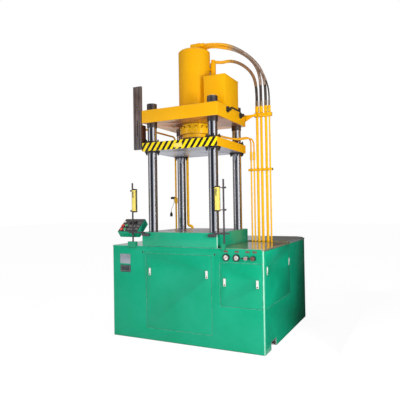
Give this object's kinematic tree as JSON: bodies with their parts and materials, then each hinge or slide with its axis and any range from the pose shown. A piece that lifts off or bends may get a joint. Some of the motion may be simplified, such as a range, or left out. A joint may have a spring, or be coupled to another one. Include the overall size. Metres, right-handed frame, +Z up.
{
  "type": "four column hydraulic press",
  "caption": "Hydraulic press on a cabinet base: chromed columns, crown with an upright cylinder, sliding platen, light curtains, sloped console and hoses over the top.",
  "frame": {"origin": "on the floor, on the axis of the ram", "axes": "+Z up along the columns, +X to the operator's right, -Y towards the operator"},
  "size_m": [1.78, 1.756, 3.233],
  "materials": {
    "green_paint": "satin",
    "yellow_paint": "gloss",
    "frame_paint": "matt",
    "bare_steel": "machined",
    "hard_chrome": "polished",
    "cast": "machined",
    "bronze": "machined",
    "black_plastic": "matt",
    "hose_rubber": "matt",
    "rail_paint": "matt",
    "curtain_yellow": "satin",
    "plate": "satin",
    "red_plastic": "gloss",
    "green_plastic": "gloss"
  },
  "bodies": {
    "frame": {"base_frame": "frame_paint", "bed": "bare_steel", "cabinet_shell": "green_paint", "top_covers": "green_paint", "columns": "hard_chrome", "column_nuts": "bare_steel", "crown": "yellow_paint", "main_cylinder": "yellow_paint", "gland_ring": "yellow_paint", "port_block": "bare_steel", "valve_box": "yellow_paint", "crown_fittings": "black_plastic", "pressure_pipes": "yellow_paint", "hose_ferrules": "bare_steel", "pipe_clamps": "yellow_paint", "pilot_hose": "hose_rubber", "main_hose_outer": "hose_rubber", "main_hose_middle": "hose_rubber", "main_hose_inner": "hose_rubber", "lower_hose_front": "hose_rubber", "lower_hose_back": "hose_rubber", "rear_pipes": "yellow_paint", "sensor": "black_plastic", "sensor_lead": "hose_rubber", "sensor_plug": "black_plastic", "limit_rail": "rail_paint", "light_curtains": "curtain_yellow", "curtain_posts": "bare_steel", "console_box": "green_paint", "console_panel": "black_plastic", "console_arm": "green_paint", "gauges": "bare_steel", "name_plates": "plate", "oil_tank": "frame_paint", "pump_motor": "cast"},
    "ram": {"platen": "yellow_paint", "piston_rod": "hard_chrome", "guide_bushes": "bronze", "trip_bracket": "yellow_paint"},
    "front_panel": {"front_panel": "green_paint"},
    "right_door": {"right_door": "green_paint"},
    "side_panel": {"side_panel": "green_paint"},
    "front_panel_latch_near": {"front_panel_latch_near": "bare_steel"},
    "front_panel_latch_far": {"front_panel_latch_far": "bare_steel"},
    "right_door_latch_near": {"right_door_latch_near": "bare_steel"},
    "right_door_latch_far": {"right_door_latch_far": "bare_steel"},
    "side_panel_latch_near": {"side_panel_latch_near": "bare_steel"},
    "side_panel_latch_far": {"side_panel_latch_far": "bare_steel"},
    "switch_lever": {"switch_lever": "bare_steel"},
    "red_button_upper": {"red_button_upper": "red_plastic"},
    "red_button_lower": {"red_button_lower": "red_plastic"},
    "green_button_upper": {"green_button_upper": "green_plastic"},
    "green_button_lower": {"green_button_lower": "green_plastic"},
    "selector_left": {"selector_left": "black_plastic"},
    "selector_middle": {"selector_middle": "black_plastic"},
    "selector_right": {"selector_right": "black_plastic"},
    "gauge_needle_left": {"gauge_needle_left": "black_plastic"},
    "gauge_needle_right": {"gauge_needle_right": "black_plastic"},
    "relief_knob": {"relief_knob": "bare_steel"},
    "flow_knob": {"flow_knob": "black_plastic"}
  },
  "joints": [
    {"name": "ram_slide", "type": "slide", "parent": "frame", "child": "ram", "axis": [0, 0, -1], "range_m": [0, 0.6]},
    {"name": "front_panel_lift_off", "type": "slide", "parent": "frame", "child": "front_panel", "axis": [0, -1, 0], "range_m": [0, 0.2]},
    {"name": "right_door_lift_off", "type": "slide", "parent": "frame", "child": "right_door", "axis": [0, -1, 0], "range_m": [0, 0.2]},
    {"name": "side_panel_lift_off", "type": "slide", "parent": "frame", "child": "side_panel", "axis": [1, 0, 0], "range_m": [0, 0.2]},
    {"name": "front_panel_latch_near_turn", "type": "hinge", "parent": "front_panel", "child": "front_panel_latch_near", "pos_m": [-0.352, -0.43, 0.73], "axis": [0, -1, 0], "range_deg": [-90, 0]},
    {"name": "front_panel_latch_far_turn", "type": "hinge", "parent": "front_panel", "child": "front_panel_latch_far", "pos_m": [0.322, -0.43, 0.73], "axis": [0, -1, 0], "range_deg": [0, 90]},
    {"name": "right_door_latch_near_turn", "type": "hinge", "parent": "right_door", "child": "right_door_latch_near", "pos_m": [0.516, -0.43, 0.666], "axis": [0, -1, 0], "range_deg": [-90, 0]},
    {"name": "right_door_latch_far_turn", "type": "hinge", "parent": "right_door", "child": "right_door_latch_far", "pos_m": [0.856, -0.43, 0.666], "axis": [0, -1, 0], "range_deg": [0, 90]},
    {"name": "side_panel_latch_near_turn", "type": "hinge", "parent": "side_panel", "child": "side_panel_latch_near", "pos_m": [0.9217, -0.347, 0.787], "axis": [1, 0, 0], "range_deg": [-90, 0]},
    {"name": "side_panel_latch_far_turn", "type": "hinge", "parent": "side_panel", "child": "side_panel_latch_far", "pos_m": [0.9217, 0.437, 0.787], "axis": [1, 0, 0], "range_deg": [0, 90]},
    {"name": "red_button_upper_press", "type": "slide", "parent": "frame", "child": "red_button_upper", "axis": [0, 0.6374, -0.7705], "range_m": [0, 0.006], "stiffness_N_per_m": 400, "springref_m": -0.003},
    {"name": "red_button_lower_press", "type": "slide", "parent": "frame", "child": "red_button_lower", "axis": [0, 0.6374, -0.7705], "range_m": [0, 0.006], "stiffness_N_per_m": 400, "springref_m": -0.003},
    {"name": "green_button_upper_press", "type": "slide", "parent": "frame", "child": "green_button_upper", "axis": [0, 0.6374, -0.7705], "range_m": [0, 0.006], "stiffness_N_per_m": 400, "springref_m": -0.003},
    {"name": "green_button_lower_press", "type": "slide", "parent": "frame", "child": "green_button_lower", "axis": [0, 0.6374, -0.7705], "range_m": [0, 0.006], "stiffness_N_per_m": 400, "springref_m": -0.003},
    {"name": "selector_left_turn", "type": "hinge", "parent": "frame", "child": "selector_left", "pos_m": [-0.692, -0.28751, 1.23906], "axis": [0, -0.6374, 0.7705], "range_deg": [-45, 45]},
    {"name": "selector_middle_turn", "type": "hinge", "parent": "frame", "child": "selector_middle", "pos_m": [-0.652, -0.28982, 1.23715], "axis": [0, -0.6374, 0.7705], "range_deg": [-45, 45]},
    {"name": "selector_right_turn", "type": "hinge", "parent": "frame", "child": "selector_right", "pos_m": [-0.624, -0.2798, 1.24544], "axis": [0, -0.6374, 0.7705], "range_deg": [-45, 45]},
    {"name": "gauge_needle_left_turn", "type": "hinge", "parent": "frame", "child": "gauge_needle_left", "pos_m": [0.537, -0.436, 0.91], "axis": [0, 1, 0], "range_deg": [0, 270], "stiffness_Nm_per_rad": 0.0005},
    {"name": "gauge_needle_right_turn", "type": "hinge", "parent": "frame", "child": "gauge_needle_right", "pos_m": [0.645, -0.436, 0.91], "axis": [0, 1, 0], "range_deg": [0, 270], "stiffness_Nm_per_rad": 0.0005},
    {"name": "relief_knob_turn", "type": "hinge", "parent": "frame", "child": "relief_knob", "pos_m": [0.749, -0.43, 0.91], "axis": [0, -1, 0], "range_deg": [-360, 360]},
    {"name": "flow_knob_turn", "type": "hinge", "parent": "frame", "child": "flow_knob", "pos_m": [0.818, -0.43, 0.91], "axis": [0, -1, 0], "range_deg": [-360, 360]},
    {"name": "switch_lever_swing", "type": "hinge", "parent": "frame", "child": "switch_lever", "pos_m": [-0.474, -0.338, 2.226], "axis": [1, 0, 0], "range_deg": [-30, 30], "stiffness_Nm_per_rad": 0.3}
  ]
}
